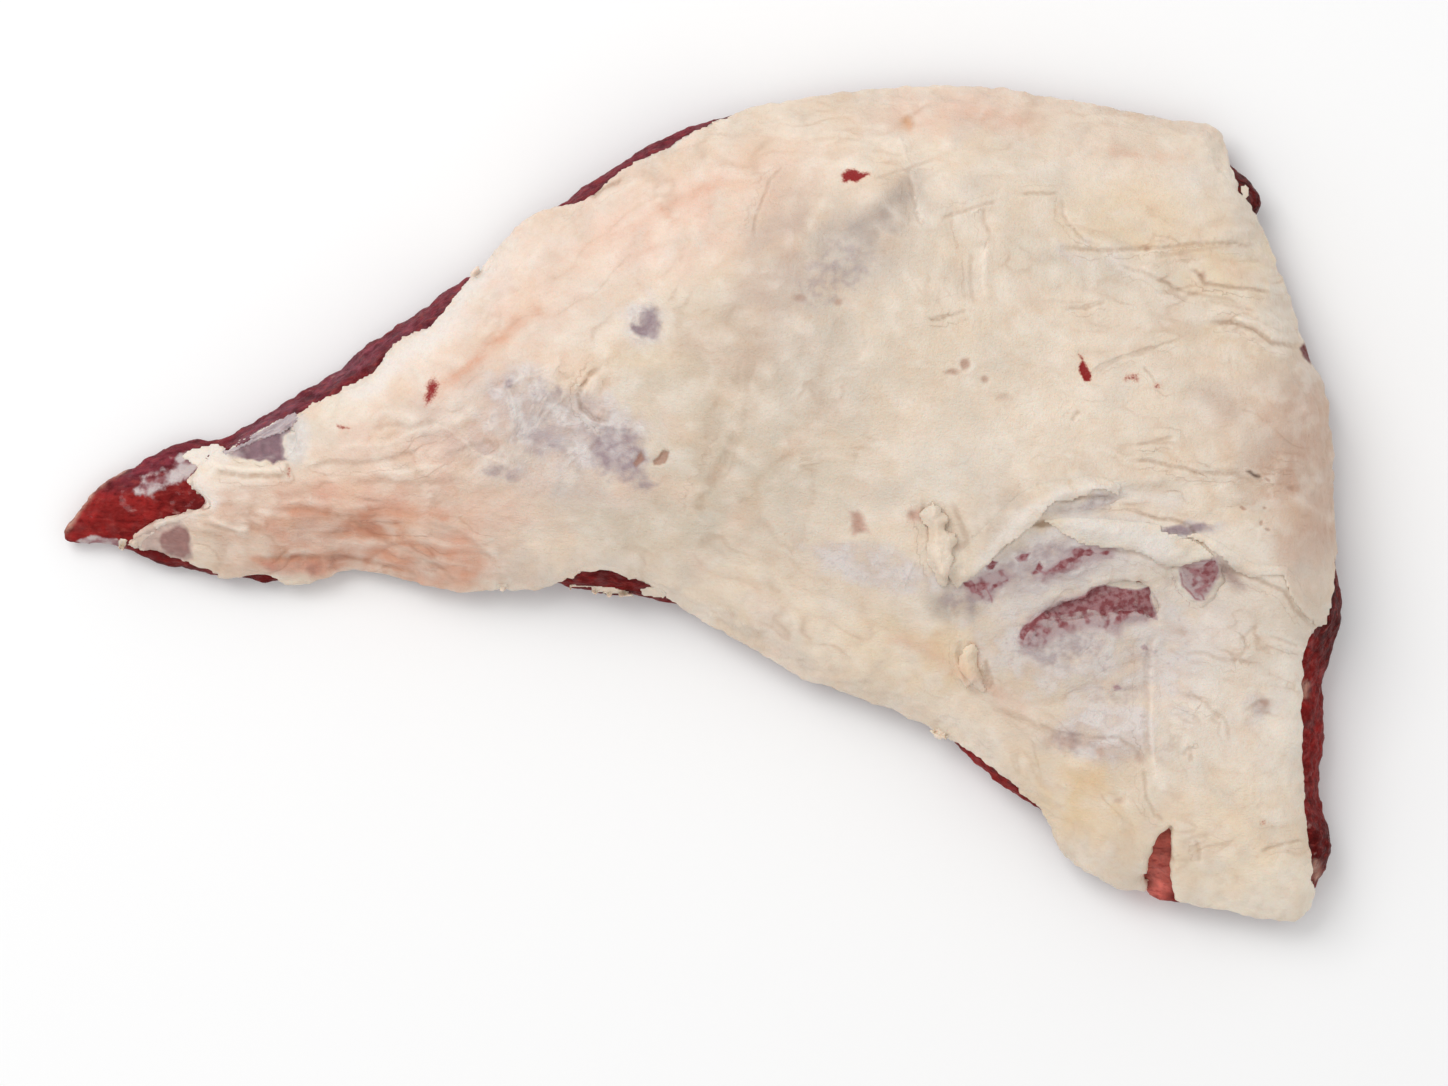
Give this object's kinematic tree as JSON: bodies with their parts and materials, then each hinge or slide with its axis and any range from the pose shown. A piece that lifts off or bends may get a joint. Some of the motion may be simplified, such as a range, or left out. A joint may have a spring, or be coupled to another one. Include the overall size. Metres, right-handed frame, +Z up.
{
  "type": "raw beef tri-tip",
  "caption": "Raw triangular beef joint with a long tapering tail, lean muscle under a cap of cream fat, lying fat side up on a flat underside.",
  "frame": {"origin": "under the middle of the joint's bounding box, on the surface it lies on", "axes": "+X away from the tip of the tail, +Y towards the long curved shoulder, +Z up out of the fat side"},
  "size_m": [0.319, 0.2092, 0.0514],
  "materials": {
    "lean": "satin",
    "fat": "satin"
  },
  "bodies": {
    "root": {"lean": "lean", "fat_cap": "fat"}
  },
  "joints": []
}
